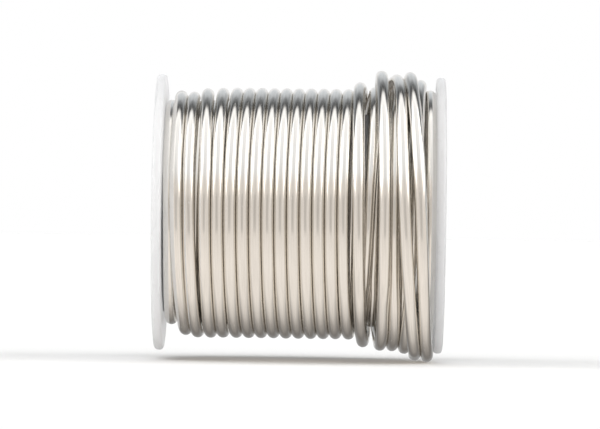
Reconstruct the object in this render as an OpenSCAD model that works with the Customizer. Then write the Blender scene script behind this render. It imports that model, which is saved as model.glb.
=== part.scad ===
// Solder wire spool: a moulded plastic spool wound with thick soft solder wire.
// Millimetres. The spool's axis is X, +Z is up and the origin is at the middle of the arbor bore.

/* [Spool] */
// Width over both flanges
spool_width = 69.8; // [66:0.1:74]
// Diameter of each flange
flange_diameter = 67; // [64:0.5:80]
// Thickness of a flange at its rim and hub
flange_thickness = 2.2; // [2:0.1:2.6]
// Radius that rounds both edges of the rim
rim_rounding = 0.9; // [0.3:0.1:0.95]
// Width of the raised band round the rim of the outer face
rim_band = 3; // [2:0.1:4]
// Depth of the recess in the outer face, between hub and rim band
face_recess = 0.6; // [0.3:0.1:0.9]

/* [Barrel and arbor] */
// Outside diameter of the barrel that the wire is wound on
barrel_diameter = 48.6; // [47.6:0.1:48.8]
// Wall of the barrel
barrel_wall = 1.6; // [1.2:0.1:2]
// Bore that takes the spindle
arbor_bore = 16; // [12:0.5:17]
// Wall of the arbor tube
arbor_wall = 2; // [1.5:0.1:2.2]
// Length of the spigot and the collar that hold the two tubes in each flange
socket_depth = 4; // [3:0.5:6]

/* [Drive holes] */
// Number of drive holes in each flange
drive_holes = 3; // [2:1:6]
// Diameter of a drive hole
drive_hole_diameter = 5; // [4:0.1:5.5]
// Diameter of the circle that the drive holes lie on
drive_circle = 33; // [32:0.5:34]

/* [Wire] */
// Diameter of the solder wire
wire_diameter = 3; // [2.8:0.05:3]
// Distance from one turn to the next
turn_pitch = 3.02; // [3.02:0.01:3.04]
// Gap between the left flange and the first layer's last turn
first_layer_gap = 0.5; // [0.3:0.1:0.7]
// Gap between the left flange and the second layer's first turn
second_layer_gap = 2.2; // [2:0.1:2.4]

/* [Label] */
// Thickness of the paper label
label_thickness = 0.2; // [0.1:0.05:0.3]
// Outside diameter of the paper label
label_diameter = 45; // [42:0.5:46]

/* [Hidden] */
$fn = 96;
small_circle_sides = 48;

white_plastic = [0.93, 0.93, 0.95];
paper_cream = [0.95, 0.92, 0.82];
solder_silver = [0.78, 0.77, 0.75];

half_width = spool_width / 2;
inner_face = half_width - flange_thickness;
recess_floor = half_width - face_recess;
flange_r = flange_diameter / 2;
barrel_r = barrel_diameter / 2;
barrel_bore_r = barrel_r - barrel_wall;
spigot_wall = 1.6;
// Gap round the hub ring and the drive holes where the label is punched.
punch_gap = 0.4;
// How far the spigot and the collar run into the disc they are moulded with.
root_depth = 0.5;
bore_r = arbor_bore / 2;
arbor_r = bore_r + arbor_wall;
collar_wall = 2;
hub_ring_width = 2.5;
hub_ring_r = arbor_r + hub_ring_width;
arbor_chamfer = 0.5;
through = 1;
flange_cut = flange_thickness + 2 * through;

wire_r = wire_diameter / 2;
// Gaps between wires that lie on each other, and between the winding and a flange.
layer_gap = 0.02;
end_gap = 0.2;
groove_rise = sqrt(pow(wire_diameter, 2) - pow(turn_pitch / 2, 2)) + layer_gap;
crest_rise = wire_diameter + layer_gap;
first_r = barrel_r + wire_r;
second_r = first_r + crest_rise;
third_r = second_r + groove_rise;
top_r = third_r + groove_rise;
// Half the thickness of the web that joins the turns of a layer.
web_half = 0.8;

// The wire starts in a slot of the right flange, and its first turn lies against that flange.
first_turn_x = inner_face - wire_r - end_gap;
start_angle = 300;
slot_width = 4.4;
slot_end_r = 2.25;
slot_shift = 0.4;
slot_sweep = 24;
tail_x = inner_face + 0.6;
tail_sweep = 22;
start_turn_sweep = 345;
tube_sides = 8;
tube_step = 15;

// Turns of the second layer right of its gap, counted from the right flange.
second_layer_right_turns = 4;
// The gap holds a turn of the second layer, and a loose turn that sank in beside it.
gap_turn_x = first_turn_x - 13.8;
sunk_turn_x = first_turn_x - 16.7;
sunk_turn_r = second_r + 1.1;
// A loose turn lies across the gap's right edge.
crossing_turn_x = first_turn_x - 11.2;
third_layer_turns = 3;
top_turns = 2;

first_layer_end = first_layer_gap + wire_r - inner_face;
first_layer_turns = floor((first_turn_x - first_layer_end) / turn_pitch) - 1;
first_layer_x = [for (i = [1 : first_layer_turns]) first_turn_x - turn_pitch * i];
second_layer_start = second_layer_gap + wire_r - inner_face;
second_layer_turns = floor((sunk_turn_x - second_layer_start - wire_diameter) / turn_pitch) + 1;
second_layer_left_x = [for (i = [0 : second_layer_turns - 1]) second_layer_start + turn_pitch * i];
second_layer_right_x = [for (i = [0 : second_layer_right_turns - 1]) first_turn_x - turn_pitch * i];
third_layer_x = [for (i = [0 : third_layer_turns - 1]) first_turn_x - turn_pitch * (i + 0.5)];
top_turns_x = [for (i = [1 : top_turns]) first_turn_x - turn_pitch * i];

// Points of an arc, from angle a to angle b.
function arc(centre, r, a, b, steps = 8) =
    [for (i = [0 : steps]) centre + r * [cos(a + (b - a) * i / steps), sin(a + (b - a) * i / steps)]];

// Where the wire lies at a given angle round the axis: 0 is the top and 90 the front, on -Y.
function on_axis(x, r, angle) = [x, -r * sin(angle), r * cos(angle)];

// Turns a shape made round Z so that its axis is X.
module along_x() {
    rotate([0, 90, 0])
        children();
}

// A tube round the X axis, from x = a to x = b.
module tube(a, b, outer_r, inner_r) {
    along_x()
        rotate_extrude()
            translate([inner_r, a])
                square([outer_r - inner_r, b - a]);
}

// Section of the flange disc: radius along X, distance along the spool's axis along Y.
module flange_section() {
    rim = flange_r - rim_rounding;
    polygon(concat(
        [[arbor_r, inner_face]],
        arc([rim, inner_face + rim_rounding], rim_rounding, -90, 0),
        arc([rim, half_width - rim_rounding], rim_rounding, 0, 90),
        [
            [flange_r - rim_band, half_width],
            [flange_r - rim_band - face_recess, recess_floor],
            [hub_ring_r + face_recess, recess_floor],
            [hub_ring_r, half_width],
            [arbor_r, half_width]
        ]
    ));
}

// Pins that cut the drive holes, from x = a and of length h.
module drive_pins(a, h, d) {
    for (i = [0 : drive_holes - 1])
        rotate([i * 360 / drive_holes, 0, 0])
            translate([a, 0, drive_circle / 2])
                along_x()
                    cylinder(h = h, d = d, $fn = small_circle_sides);
}

// Slot next to the barrel that the start of the wire passes through.
module start_slot() {
    slot_r = first_r;
    half_length = slot_r * sin(slot_sweep / 2);
    rotate([start_angle + slot_sweep / 2, 0, 0])
        translate([inner_face - through, 0, slot_r * cos(slot_sweep / 2) + slot_shift]) {
            for (side = [-1, 1])
                translate([0, side * half_length, 0])
                    along_x()
                        cylinder(h = flange_cut, r = slot_end_r, $fn = small_circle_sides);
            translate([0, -half_length, -slot_width / 2])
                cube([flange_cut, 2 * half_length, slot_width]);
        }
}

// One flange, drawn on the right: disc, spigot for the barrel and collar for the arbor tube.
module flange() {
    socket_x = inner_face - socket_depth;
    root_x = inner_face + root_depth;
    difference() {
        union() {
            along_x()
                rotate_extrude()
                    flange_section();
            tube(socket_x, root_x, barrel_bore_r, barrel_bore_r - spigot_wall);
            tube(socket_x, root_x, arbor_r + collar_wall, arbor_r);
        }
        drive_pins(inner_face - through, flange_cut, drive_hole_diameter);
        start_slot();
    }
}

module right_flange() {
    color(white_plastic)
        flange();
}

module left_flange() {
    color(white_plastic)
        mirror([1, 0, 0])
            flange();
}

// Plain tube between the flanges that carries the winding.
module barrel() {
    color(white_plastic)
        tube(-inner_face, inner_face, barrel_r, barrel_bore_r);
}

// Tube through both flanges that turns on the spindle.
module arbor_tube() {
    color(white_plastic)
        along_x()
            rotate_extrude()
                polygon([
                    [bore_r, -half_width + arbor_chamfer],
                    [bore_r + arbor_chamfer, -half_width],
                    [arbor_r, -half_width],
                    [arbor_r, half_width],
                    [bore_r + arbor_chamfer, half_width],
                    [bore_r, half_width - arbor_chamfer]
                ]);
}

// Paper label in the recess of the right flange, punched for the hub and the drive holes.
module face_label() {
    label_inner_r = hub_ring_r + face_recess + punch_gap;
    color(paper_cream)
        difference() {
            tube(recess_floor, recess_floor + label_thickness, label_diameter / 2, label_inner_r);
            drive_pins(recess_floor - through, flange_cut, drive_hole_diameter + punch_gap);
        }
}

// Turns that touch, side by side: a round turn at each place along the axis, joined by a thin web.
module wound_turns(places, r) {
    color(solder_silver)
        along_x()
            rotate_extrude() {
                for (x = places)
                    translate([r, x])
                        circle(r = wire_r, $fn = small_circle_sides);
                translate([r - web_half, min(places)])
                    square([2 * web_half, max(places) - min(places)]);
            }
}

// One turn that lies by itself.
module single_turn(x, r) {
    color(solder_silver)
        along_x()
            rotate_extrude()
                translate([r, x])
                    circle(r = wire_r, $fn = small_circle_sides);
}

// First turn of the wire, from its cut end in the flange's slot round against the flange.
module wire_start_turn() {
    angles = [for (a = [0 : tube_step : start_turn_sweep]) a];
    centres = [
        for (a = angles)
            let (run = max(0, 1 - a / tail_sweep))
                on_axis(first_turn_x + (tail_x - first_turn_x) * run * run, first_r, start_angle + a)
    ];
    rings = len(centres);
    points = [
        for (k = [0 : rings - 1])
            let (outward = on_axis(0, 1, start_angle + angles[k]))
                for (s = [0 : tube_sides - 1])
                    let (turn = 360 * (s + 0.5) / tube_sides)
                        centres[k] + wire_r * (cos(turn) * outward + sin(turn) * [1, 0, 0])
    ];
    sides = [
        for (k = [0 : rings - 2])
            for (s = [0 : tube_sides - 1])
                let (n = (s + 1) % tube_sides, a = k * tube_sides, b = a + tube_sides)
                    [a + s, a + n, b + n, b + s]
    ];
    first_cap = [for (s = [tube_sides - 1 : -1 : 0]) s];
    last_cap = [for (s = [0 : tube_sides - 1]) (rings - 1) * tube_sides + s];
    color(solder_silver)
        polyhedron(points, concat([first_cap], sides, [last_cap]), convexity = 4);
}

// The layer on the barrel. Its last turn stands a little apart, by the left flange.
module wire_first_layer() {
    wound_turns(first_layer_x, first_r);
    single_turn(first_layer_end, first_r);
}

// The layer on that one, with a gap near its right end where one turn stands alone.
module wire_second_layer() {
    wound_turns(second_layer_left_x, second_r);
    single_turn(gap_turn_x, second_r);
    wound_turns(second_layer_right_x, second_r);
}

// Turns over the second layer by the right flange, and the two loose ones at the gap.
module wire_third_layer() {
    wound_turns(third_layer_x, third_r);
    single_turn(crossing_turn_x, third_r);
    single_turn(sunk_turn_x, sunk_turn_r);
}

// The last turns, which stand proud of the flanges.
module wire_top_turns() {
    wound_turns(top_turns_x, top_r);
}

left_flange();
right_flange();
barrel();
arbor_tube();
face_label();
wire_start_turn();
wire_first_layer();
wire_second_layer();
wire_third_layer();
wire_top_turns();
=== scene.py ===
import math

import bpy
import numpy as np
from mathutils import Matrix, Vector


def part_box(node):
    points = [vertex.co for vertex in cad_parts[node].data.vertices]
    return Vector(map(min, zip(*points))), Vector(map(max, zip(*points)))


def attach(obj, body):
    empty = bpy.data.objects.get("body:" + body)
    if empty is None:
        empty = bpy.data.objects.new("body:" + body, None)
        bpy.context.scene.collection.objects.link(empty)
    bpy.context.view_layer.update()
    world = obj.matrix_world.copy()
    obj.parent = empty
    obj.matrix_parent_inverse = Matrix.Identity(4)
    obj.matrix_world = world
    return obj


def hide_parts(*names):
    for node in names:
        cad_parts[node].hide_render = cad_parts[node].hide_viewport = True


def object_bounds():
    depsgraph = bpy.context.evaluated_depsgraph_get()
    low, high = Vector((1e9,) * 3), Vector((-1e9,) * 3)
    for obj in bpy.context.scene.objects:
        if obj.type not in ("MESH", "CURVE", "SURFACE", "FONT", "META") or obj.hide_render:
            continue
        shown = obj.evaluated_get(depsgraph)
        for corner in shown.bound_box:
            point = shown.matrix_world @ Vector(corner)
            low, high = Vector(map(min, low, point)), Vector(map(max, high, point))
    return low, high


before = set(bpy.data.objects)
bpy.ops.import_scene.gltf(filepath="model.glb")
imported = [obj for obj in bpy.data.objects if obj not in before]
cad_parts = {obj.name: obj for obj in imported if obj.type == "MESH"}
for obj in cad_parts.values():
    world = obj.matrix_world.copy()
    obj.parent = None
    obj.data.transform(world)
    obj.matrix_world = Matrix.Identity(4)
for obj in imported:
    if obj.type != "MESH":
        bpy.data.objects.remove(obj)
cad_low, cad_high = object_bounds()

MM = 0.001

# Sizes that come from the frame, in metres
FLANGE_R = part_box("right_flange")[1].z
LABEL_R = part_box("face_label")[1].z
INNER_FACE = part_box("barrel")[1].x
WIRE_R = 1.5 * MM

# ---------------------------------------------------------------- camera

CAMERA_DISTANCE = 1.15
CAMERA_SIDE = 0.0113
CAMERA_LENS = 284
CAMERA_ROLL = math.radians(0.8)
AIM_HEIGHT = -0.2 * MM


def make_camera():
    data = bpy.data.cameras.new("camera")
    data.lens = CAMERA_LENS
    data.clip_start = 0.05
    data.clip_end = 50
    cam = bpy.data.objects.new("camera", data)
    bpy.context.scene.collection.objects.link(cam)
    cam.location = (CAMERA_SIDE, -CAMERA_DISTANCE, 0)
    aim = Vector((0, 0, AIM_HEIGHT)) - cam.location
    turn = aim.to_track_quat("-Z", "Y").to_matrix() @ Matrix.Rotation(CAMERA_ROLL, 3, "Z")
    cam.rotation_euler = turn.to_euler()
    bpy.context.scene.camera = cam


# ---------------------------------------------------------------- wire

# The route is worked out in millimetres and degrees. Degree 0 is the top, 90 the front, 180 the bottom.
WIRE_D = 3.0
FIRST_R = 25.8
SECOND_R = 28.9
PITCH = 3.0
# The first layer runs from right to left, and skips GAP_EXTRA once, where later turns sink in.
FIRST_TURN_X = 31.4
FIRST_PITCH = 3.1
FIRST_LAYER_TURNS = 17.5
FIRST_LAYER_END_X = -27.6
GAP_AFTER_TURNS = 4.8
GAP_EXTRA = 2.6
# The wire starts in the right flange's slot and bends out of it within TAIL_SWEEP degrees.
START_ANGLE = -60
TAIL_SWEEP = 22
TAIL_REACH = 2.15
# The cut end lies this many degrees past the last row's back.
END_PAST_BACK = 38

# Where the wire lies, one row for each turn: (x, radius) in mm at the top, front, bottom and back.
LEFT_END = [
    [(-31.8, 25.8), (-30.8, 25.8), (-30.8, 25.8), (-30.8, 26.8)],
    [(-29.4, 27.8), (-29.1, 28.2), (-27.2, 27.7), (-26.9, 27.9)],
    [(-26.5, 27.8), (-26.3, 28.2), (-24.6, 28.9), (-23.7, 28.9)],
    [(-22.7, 28.7), (-22.2, 28.9), (-21.1, 28.9), (-19.9, 28.9)],
    [(-19.0, 28.8), (-19.5, 28.9), (-18.4, 28.9), (-16.9, 28.9)],
]
# A regular turn of the second layer: how far each quarter lies right of its front.
EVEN_TURN = (0.95, 0.0, 1.5, 3.05)
EVEN_TURNS = 9
EVEN_START = -16.5
RIGHT_END = [
    [(11.3, 28.9), (10.5, 28.9), (12.2, 28.9), (14.7, 28.9)],
    [(18.0, 29.4), (16.6, 28.1), (14.9, 26.7), (17.7, 28.6)],
    [(20.8, 28.9), (20.4, 28.9), (21.5, 28.8), (24.6, 28.9)],
    [(26.9, 28.9), (25.6, 28.9), (25.2, 28.9), (29.0, 28.9)],
    [(31.2, 28.9), (31.2, 28.9), (31.0, 28.9), (30.6, 31.0)],
    [(28.8, 31.0), (27.4, 31.3), (25.6, 32.2), (25.2, 31.3)],
    [(23.6, 29.6), (22.6, 30.8), (23.0, 31.2), (20.1, 31.0)],
    [(19.4, 33.5), (20.4, 32.2), (19.8, 31.0), (17.3, 31.7)],
    [(14.3, 30.6), (14.2, 30.5), (15.5, 29.6), (18.2, 34.2)],
    [(23.0, 32.2), (25.2, 34.4), (28.5, 33.8), (27.6, 32.9)],
    [(26.2, 32.7), (28.9, 34.2), (31.1, 34.1), (30.5, 32.6)],
    [(30.6, 33.0)],
]


def wire_stations():
    """(x, radius) every quarter turn along the wire, from the back before the first top."""
    stations = [(FIRST_TURN_X, FIRST_R)]
    for quarter in range(int(4 * FIRST_LAYER_TURNS) + 1):
        turns = quarter / 4
        gap = GAP_EXTRA if turns > GAP_AFTER_TURNS else 0
        stations.append((FIRST_TURN_X - FIRST_PITCH * turns - gap, FIRST_R))
    stations.append((FIRST_LAYER_END_X, FIRST_R))
    for row in LEFT_END:
        stations += row
    for turn in range(EVEN_TURNS):
        for offset in EVEN_TURN:
            stations.append((EVEN_START + PITCH * turn + offset, SECOND_R))
    for row in RIGHT_END:
        stations += row
    return np.array(stations)


def smooth_through(values, at):
    """A smooth curve through values, one for each whole number, read at the places in at."""
    last = len(values) - 1
    i = np.clip(np.floor(at).astype(int), 0, last - 1)
    t = (at - i)[:, None]
    before = values[np.clip(i - 1, 0, last)]
    here = values[i]
    there = values[i + 1]
    after = values[np.clip(i + 2, 0, last)]
    bend = 2 * before - 5 * here + 4 * there - after
    twist = 3 * (here - there) + after - before
    return here + 0.5 * t * (there - before + t * (bend + t * twist))


def slow_noise(count, step, amount, seed):
    """Gentle random wander along the wire, with a new value every step points."""
    rng = np.random.default_rng(seed)
    knots = rng.uniform(-amount, amount, (count // step + 4, 1))
    return smooth_through(knots, np.arange(count) / step + 1)[:, 0]


RINGS_PER_TURN = 72
WIRE_SIDES = 24
# A lift or push is spread over this many rings on both sides.
REACH = 2
LAY_ROUNDS = 12
SPREAD_ROUNDS = 60
# The part of each push that one round applies
PUSH_SHARE = 0.6
# Turns closer than CROSSING, centre to centre along the axis, lie on each other. Further apart than
# BESIDE, they are pushed apart until they only touch.
CROSSING = 0.77 * WIRE_D
BESIDE = 0.4 * WIRE_D
# The most that the centre line wanders, each way
WANDER = 0.05
# How much thinner the wire is at its cut ends, as a share of its radius
END_PINCH = 0.25


def blur(values):
    """Average each value with its neighbours within REACH."""
    weights = np.hanning(2 * REACH + 3)[1:-1]
    return np.convolve(np.pad(values, REACH, mode="edge"), weights / weights.sum(), "valid")


def lay_down(x, r):
    """Raise each turn, where it crosses earlier ones, until it lies on top of them.

    Each ring is compared with the rings that lie a whole number of turns behind it.
    """
    laid = r
    for _ in range(LAY_ROUNDS):
        need = np.zeros(len(x))
        for behind in range(RINGS_PER_TURN, len(x), RINGS_PER_TURN):
            aside = np.abs(x[behind:] - x[:-behind])
            rise = np.sqrt(np.maximum(WIRE_D**2 - aside**2, 0))
            lift = np.where(aside < CROSSING, laid[:-behind] + rise, 0)
            need[behind:] = np.maximum(need[behind:], lift)
        edge = np.pad(need, REACH, mode="edge")
        widest = np.max([edge[i : i + len(need)] for i in range(2 * REACH + 1)], axis=0)
        laid = np.maximum(r, blur(widest))
    return laid


def spread_out(x, r):
    """Push turns that lie side by side apart until they only touch, and off the flanges."""
    limit = INNER_FACE / MM - WIRE_D / 2
    for _ in range(SPREAD_ROUNDS):
        push = np.zeros(len(x))
        for behind in range(RINGS_PER_TURN, len(x), RINGS_PER_TURN):
            aside = x[behind:] - x[:-behind]
            up = r[behind:] - r[:-behind]
            lack = np.sqrt(np.maximum(WIRE_D**2 - up**2, 0)) - np.abs(aside)
            lack = np.where(np.abs(aside) > BESIDE, np.maximum(lack, 0), 0) * np.sign(aside)
            push[behind:] += lack / 2
            push[:-behind] -= lack / 2
        x = np.clip(x + blur(PUSH_SHARE * push), -limit, limit)
    return x


def wire_centres():
    """The wire's centre line in metres, from its start in the slot to its cut end."""
    stations = wire_stations()
    last_angle = 90 * (len(stations) - 2) - 90 + END_PAST_BACK
    step = 360 / RINGS_PER_TURN
    angles = np.arange(START_ANGLE, last_angle, step)
    count = len(angles)
    x, r = smooth_through(stations, angles / 90 + 1).T
    x = x + slow_noise(count, RINGS_PER_TURN // 4, WANDER, 3)
    # The first layer lies tight on the barrel, so only the turns above it wander in radius.
    r = r + slow_noise(count, RINGS_PER_TURN // 5, WANDER, 4) * (r > FIRST_R + 1)
    laid = lay_down(x, np.maximum(r, FIRST_R))
    x = spread_out(x, laid)
    run = np.clip(1 - (angles - START_ANGLE) / TAIL_SWEEP, 0, 1)
    x = x + TAIL_REACH * run**2
    a = np.radians(angles)
    return np.stack([x, -laid * np.sin(a), laid * np.cos(a)], 1) * MM


def tube_rings(centres, radii, sides):
    """Rings of points round a path, each square to it, with side 0 facing out from the axis."""
    along = np.gradient(centres, axis=0)
    along /= np.linalg.norm(along, axis=1)[:, None]
    outward = centres * [0, 1, 1]
    outward -= (outward * along).sum(1)[:, None] * along
    outward /= np.linalg.norm(outward, axis=1)[:, None]
    across = np.cross(along, outward)
    turn = 2 * math.pi * np.arange(sides) / sides
    spoke = np.cos(turn)[:, None] * outward[:, None] + np.sin(turn)[:, None] * across[:, None]
    return centres[:, None] + spoke * radii[:, None, None]


def tube_mesh(name, rings):
    """A smooth tube through rings of points, closed at both ends."""
    count, sides = rings.shape[:2]
    ring, side = np.meshgrid(np.arange(count - 1), np.arange(sides), indexing="ij")
    here = ring * sides
    there = here + sides
    after = (side + 1) % sides
    faces = np.stack([here + side, here + after, there + after, there + side], -1).reshape(-1, 4)
    caps = [list(range(sides))[::-1], list(range((count - 1) * sides, count * sides))]
    mesh = bpy.data.meshes.new(name)
    mesh.from_pydata(rings.reshape(-1, 3).tolist(), [], faces.tolist() + caps)
    mesh.update()
    mesh.shade_smooth()
    return mesh


def mark_along(mesh, travelled):
    """Store the material's own coordinates: round the wire in X and Y, along it in Z, in wire radii."""
    turn = 2 * math.pi * np.arange(WIRE_SIDES) / WIRE_SIDES
    place = np.empty((len(travelled), WIRE_SIDES, 3))
    place[..., 0] = np.cos(turn)
    place[..., 1] = np.sin(turn)
    place[..., 2] = travelled[:, None] / WIRE_R
    along = mesh.attributes.new("along_wire", "FLOAT_VECTOR", "POINT")
    along.data.foreach_set("vector", place.reshape(-1).astype(np.float32))


def make_wire(material):
    centres = wire_centres()
    step = np.linalg.norm(np.diff(centres, axis=0), axis=1)
    travelled = np.concatenate([[0], np.cumsum(step)])
    length = travelled[-1]
    # The cutters leave each end slightly pinched.
    to_end = np.minimum(travelled, length - travelled)
    radii = WIRE_R * (1 - END_PINCH * np.exp(-((to_end / (0.5 * WIRE_R)) ** 2)))
    mesh = tube_mesh("solder_wire", tube_rings(centres, radii, WIRE_SIDES))
    mark_along(mesh, travelled)
    mesh.materials.append(material)
    wire = bpy.data.objects.new("solder_wire", mesh)
    bpy.context.scene.collection.objects.link(wire)
    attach(wire, "root")
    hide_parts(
        "wire_start_turn",
        "wire_first_layer",
        "wire_second_layer",
        "wire_third_layer",
        "wire_top_turns",
    )


# ---------------------------------------------------------------- shader helpers


def add(tree, kind, inputs, **settings):
    """A new shader node: inputs holds a value, or another node's socket, for each of its inputs."""
    made = tree.nodes.new("ShaderNode" + kind)
    for name, value in settings.items():
        setattr(made, name, value)
    for key, value in inputs.items():
        if isinstance(value, bpy.types.NodeSocket):
            tree.links.new(value, made.inputs[key])
        else:
            made.inputs[key].default_value = value
    return made


def math_of(tree, operation, *values):
    return add(tree, "Math", dict(enumerate(values)), operation=operation).outputs["Value"]


def vector_math(tree, operation, *values):
    return add(tree, "VectorMath", dict(enumerate(values)), operation=operation).outputs


def between(tree, value, start, end, low=0.0, high=1.0):
    """Goes smoothly from low to high as value goes from start to end."""
    limits = {"Value": value, "From Min": start, "From Max": end, "To Min": low, "To Max": high}
    return add(tree, "MapRange", limits, interpolation_type="SMOOTHSTEP").outputs["Result"]


def blend_colours(tree, amount, first, second):
    return add(tree, "MixRGB", {"Fac": amount, "Color1": first, "Color2": second}).outputs["Color"]


def noise_of(tree, place, stretch, scale, detail):
    """Noise from 0 to 1; a small stretch along an axis draws it out that way."""
    moved = add(tree, "Mapping", {"Vector": place, "Scale": stretch}).outputs["Vector"]
    return add(tree, "TexNoise", {"Vector": moved, "Scale": scale, "Detail": detail}).outputs["Fac"]


def axis_radius(tree, place):
    """Distance from the spool's axis, in metres."""
    across = vector_math(tree, "MULTIPLY", place, (0, 1, 1))["Vector"]
    return vector_math(tree, "LENGTH", across)["Value"]


def ring_of(tree, radius, middle, width):
    """1 within a ring of this middle radius and width, and 0 outside it."""
    off_middle = math_of(tree, "ABSOLUTE", math_of(tree, "SUBTRACT", radius, middle))
    return between(tree, off_middle, width / 2 - 0.05 * MM, width / 2 + 0.05 * MM, 1.0, 0.0)


def new_material(name):
    material = bpy.data.materials.new(name)
    material.use_nodes = True
    tree = material.node_tree
    return material, tree, tree.nodes["Principled BSDF"]


def set_surface(tree, shader, colour, roughness, height, depth):
    """Link colour and roughness, and a bump whose height of 1 is depth metres."""
    tree.links.new(colour, shader.inputs["Base Color"])
    tree.links.new(roughness, shader.inputs["Roughness"])
    bump = add(tree, "Bump", {"Height": height, "Distance": depth})
    tree.links.new(bump.outputs["Normal"], shader.inputs["Normal"])


# ---------------------------------------------------------------- materials


def solder_metal():
    """Drawn tin wire: bright, with fine die lines along it, duller patches and small rubs."""
    material, tree, shader = new_material("solder_metal")
    shader.inputs["Metallic"].default_value = 1
    place = add(tree, "Attribute", {}, attribute_name="along_wire").outputs["Vector"]
    die_lines = noise_of(tree, place, (4.0, 4.0, 0.05), 3, 6)
    patches = noise_of(tree, place, (0.6, 0.6, 0.12), 1, 2)
    rubs = between(tree, noise_of(tree, place, (2.0, 2.0, 0.4), 2.5, 4), 0.64, 0.74)
    bright = blend_colours(
        tree, between(tree, die_lines, 0.3, 0.7), (0.78, 0.755, 0.715, 1), (0.87, 0.85, 0.815, 1)
    )
    colour = blend_colours(tree, between(tree, patches, 0.5, 0.8, 0.0, 0.4), bright, (0.70, 0.68, 0.65, 1))
    drawn = between(tree, die_lines, 0.2, 0.8, 0.13, 0.21)
    roughness = math_of(tree, "MULTIPLY_ADD", rubs, 0.12, drawn)
    set_surface(tree, shader, colour, roughness, die_lines, 0.004 * MM)
    return material


def flange_plastic():
    """White moulded plastic that light soaks into, satin, with moulding grain and a scuffed rim."""
    material, tree, shader = new_material("flange_plastic")
    shader.inputs["Subsurface Weight"].default_value = 1.0
    shader.inputs["Subsurface Radius"].default_value = (1.0, 1.0, 1.0)
    shader.inputs["Subsurface Scale"].default_value = 16 * MM
    place = add(tree, "TexCoord", {}).outputs["Object"]
    radius = axis_radius(tree, place)
    mottle = noise_of(tree, place, (1, 1, 1), 70, 3)
    grain = noise_of(tree, place, (1, 1, 1), 2200, 2)
    rings = {"W": radius, "Scale": 2500, "Detail": 3}
    swirl = add(tree, "TexNoise", rings, noise_dimensions="1D").outputs["Fac"]
    rim = between(tree, radius, 0.95 * FLANGE_R, 0.99 * FLANGE_R)
    scrapes = between(tree, noise_of(tree, place, (1, 1, 1), 420, 4), 0.58, 0.7)
    scuffs = math_of(tree, "MULTIPLY", rim, scrapes)
    clean = blend_colours(tree, mottle, (0.58, 0.59, 0.61, 1), (0.64, 0.65, 0.67, 1))
    colour = blend_colours(tree, math_of(tree, "MULTIPLY", scuffs, 0.3), clean, (0.52, 0.52, 0.53, 1))
    satin = between(tree, mottle, 0.3, 0.7, 0.32, 0.42)
    roughness = math_of(tree, "MULTIPLY_ADD", scuffs, 0.2, satin)
    height = math_of(tree, "MULTIPLY_ADD", swirl, 0.5, grain)
    set_surface(tree, shader, colour, roughness, height, 0.012 * MM)
    return material


def tube_plastic():
    """White extruded plastic, duller than the flanges, with draw marks along the tube."""
    material, tree, shader = new_material("tube_plastic")
    shader.inputs["Subsurface Weight"].default_value = 0.4
    shader.inputs["Subsurface Radius"].default_value = (1.0, 1.0, 1.0)
    shader.inputs["Subsurface Scale"].default_value = 3 * MM
    place = add(tree, "TexCoord", {}).outputs["Object"]
    marks = noise_of(tree, place, (0.03, 1, 1), 1400, 4)
    mottle = noise_of(tree, place, (1, 1, 1), 90, 3)
    colour = blend_colours(tree, mottle, (0.66, 0.66, 0.67, 1), (0.74, 0.74, 0.74, 1))
    roughness = between(tree, marks, 0.25, 0.75, 0.42, 0.6)
    set_surface(tree, shader, colour, roughness, marks, 0.03 * MM)
    return material


def label_paper():
    """Uncoated paper with a plain printed ring near its edge and a thin one near its hole."""
    material, tree, shader = new_material("label_paper")
    place = add(tree, "TexCoord", {}).outputs["Object"]
    radius = axis_radius(tree, place)
    fibres = noise_of(tree, place, (1, 1, 1), 1600, 6)
    cloudy = noise_of(tree, place, (1, 1, 1), 160, 3)
    edge_ring = ring_of(tree, radius, LABEL_R - 1.7 * MM, 1.4 * MM)
    hole_ring = ring_of(tree, radius, LABEL_R - 9.9 * MM, 0.4 * MM)
    print_wear = between(tree, fibres, 0.25, 0.45, 0.75, 1.0)
    ink = math_of(tree, "MULTIPLY", math_of(tree, "MAXIMUM", edge_ring, hole_ring), print_wear)
    paper = blend_colours(tree, cloudy, (0.78, 0.76, 0.69, 1), (0.86, 0.84, 0.78, 1))
    speckled = blend_colours(tree, between(tree, fibres, 0.55, 0.8, 0.0, 0.25), paper, (0.62, 0.58, 0.48, 1))
    colour = blend_colours(tree, ink, speckled, (0.10, 0.17, 0.25, 1))
    roughness = between(tree, fibres, 0.3, 0.7, 0.7, 0.9)
    set_surface(tree, shader, colour, roughness, fibres, 0.02 * MM)
    return material


def pale_floor():
    """Matte paper-white floor, faintly cloudy."""
    material, tree, shader = new_material("pale_floor")
    place = add(tree, "TexCoord", {}).outputs["Object"]
    cloudy = noise_of(tree, place, (1, 1, 1), 3, 4)
    colour = blend_colours(tree, cloudy, (0.95, 0.95, 0.945, 1), (0.98, 0.98, 0.975, 1))
    roughness = between(tree, cloudy, 0.3, 0.7, 0.85, 0.95)
    set_surface(tree, shader, colour, roughness, cloudy, 0.1 * MM)
    return material


def paint(material, *names):
    for name in names:
        piece = bpy.data.objects[name]
        piece.data.materials.clear()
        piece.data.materials.append(material)


# ---------------------------------------------------------------- light and floor

COOL = (0.95, 1.0, 1.05)
PLAIN = (1.0, 1.0, 1.0)
WARM = (1.03, 0.965, 0.90)

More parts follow.
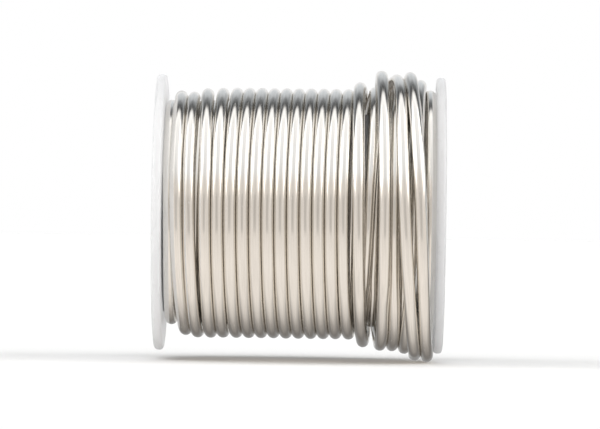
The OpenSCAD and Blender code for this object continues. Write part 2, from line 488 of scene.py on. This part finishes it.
# Degrees up from the horizon behind the object, over the top, down to the viewer's horizon at 180
# and back below it: brightness and tint of the studio in that direction.
STUDIO = [
    (0, 0.98, PLAIN),
    (12, 0.95, PLAIN),
    (25, 0.78, COOL),
    (40, 0.66, COOL),
    (48, 0.28, COOL),
    (56, 0.1, COOL),
    (63, 0.04, COOL),
    (67, 1.1, PLAIN),
    (74, 1.35, PLAIN),
    (86, 1.12, PLAIN),
    (110, 1.05, PLAIN),
    (128, 0.95, PLAIN),
    (142, 0.86, PLAIN),
    (152, 0.75, WARM),
    (162, 0.79, WARM),
    (180, 0.82, WARM),
    (201, 0.9, WARM),
    (217, 0.96, WARM),
    (232, 0.99, WARM),
    (249, 0.95, WARM),
    (268, 0.94, WARM),
    (291, 0.68, WARM),
    (305, 0.42, WARM),
    (330, 0.19, WARM),
    (350, 0.35, PLAIN),
    (360, 0.98, PLAIN),
]


def studio_angle(tree, direction, axes):
    """Where a direction lies on STUDIO's scale, from 0 to 1.

    In front the bands are level rings, which a turn mirrors as straight stripes; behind they run along X.
    """
    across = vector_math(tree, "MULTIPLY", direction, (0, 1, 1))["Vector"]
    reach = vector_math(tree, "LENGTH", across)["Value"]
    behind = between(tree, axes["Y"], -0.3, 0.1)
    span = add(tree, "Mix", {"Factor": behind, "A": 1.0, "B": reach}).outputs["Result"]
    ahead = math_of(tree, "SUBTRACT", span, axes["Y"])
    return math_of(tree, "DIVIDE", math_of(tree, "ARCTAN2", ahead, axes["Z"]), math.pi)


def studio_bands(tree, angle):
    """The colour of STUDIO at an angle, blended between its rows."""
    bands = add(tree, "ValToRGB", {"Fac": angle})
    stops = bands.color_ramp.elements
    while len(stops) < len(STUDIO):
        stops.new(0.5)
    for stop, (degrees, value, tint) in zip(stops, STUDIO):
        stop.position = degrees / 360
        stop.color = (*(value * part for part in tint), 1)
    return bands.outputs["Color"]


def end_light(tree, axes, aside, angle):
    """Light added towards both ends of the spool: more high in front, and less behind."""
    upper = between(tree, axes["Z"], 0.25, 0.6)
    in_front = math_of(tree, "MULTIPLY", upper, between(tree, aside, 0.3, 0.7, 0.0, 0.8))
    behind = between(tree, aside, 0.15, 0.4, 0.0, -0.5)
    front = between(tree, angle, 0.18, 0.22)
    return add(tree, "Mix", {"Factor": front, "A": behind, "B": in_front}).outputs["Result"]


def end_lamps(tree, axes, aside):
    """A wide soft light at each end, above the horizon."""
    raised = between(tree, axes["Z"], 0.15, 0.4)
    return math_of(tree, "MULTIPLY", raised, between(tree, aside, 0.75, 0.9, 0.0, 3.0))


def front_shade(tree, aside, angle):
    """Dims a patch straight in front, from 17 degrees above the horizon to 17 below it."""
    off_level = math_of(tree, "ABSOLUTE", math_of(tree, "SUBTRACT", angle, 0.5))
    level = between(tree, off_level, 0.045, 0.052, 1.0, 0.0)
    central = between(tree, aside, 0.25, 0.5, 1.0, 0.0)
    patch = math_of(tree, "MULTIPLY", level, central)
    return math_of(tree, "MULTIPLY_ADD", patch, -0.27, 1.0)


def make_world():
    world = bpy.data.worlds.new("studio")
    bpy.context.scene.world = world
    world.use_nodes = True
    tree = world.node_tree
    background = tree.nodes["Background"]
    direction = add(tree, "TexCoord", {}).outputs["Generated"]
    axes = add(tree, "SeparateXYZ", {"Vector": direction}).outputs
    angle = studio_angle(tree, direction, axes)
    aside = math_of(tree, "ABSOLUTE", axes["X"])
    ends = math_of(tree, "ADD", end_light(tree, axes, aside, angle), end_lamps(tree, axes, aside))
    sides = math_of(tree, "ADD", ends, 1.0)
    light = math_of(tree, "MULTIPLY", sides, front_shade(tree, aside, angle))
    # What is seen directly is a plain backdrop.
    seen = add(tree, "LightPath", {}).outputs["Is Camera Ray"]
    colour = blend_colours(tree, seen, studio_bands(tree, angle), (1.0, 1.0, 1.0, 1))
    strength = add(tree, "Mix", {"Factor": seen, "A": light, "B": 1.0}).outputs["Result"]
    tree.links.new(colour, background.inputs["Color"])
    tree.links.new(strength, background.inputs["Strength"])


def make_floor():
    reach = 6
    # Just under the lowest turn
    z = cad_low.z - 0.1 * MM
    mesh = bpy.data.meshes.new("floor")
    corners = [(-reach, -reach, z), (reach, -reach, z), (reach, reach, z), (-reach, reach, z)]
    mesh.from_pydata(corners, [], [(0, 1, 2, 3)])
    mesh.materials.append(pale_floor())
    floor = bpy.data.objects.new("floor", mesh)
    bpy.context.scene.collection.objects.link(floor)
    # The wire mirrors the studio's lower half in place of the floor.
    floor.visible_glossy = False


make_camera()
make_wire(solder_metal())
paint(flange_plastic(), "left_flange", "right_flange")
paint(tube_plastic(), "barrel", "arbor_tube")
paint(label_paper(), "face_label")
make_world()
make_floor()
bpy.context.scene.view_settings.view_transform = "Standard"
# Light bounces many times in the grooves between the turns.
bpy.context.scene.cycles.max_bounces = 16
bpy.context.scene.cycles.glossy_bounces = 12
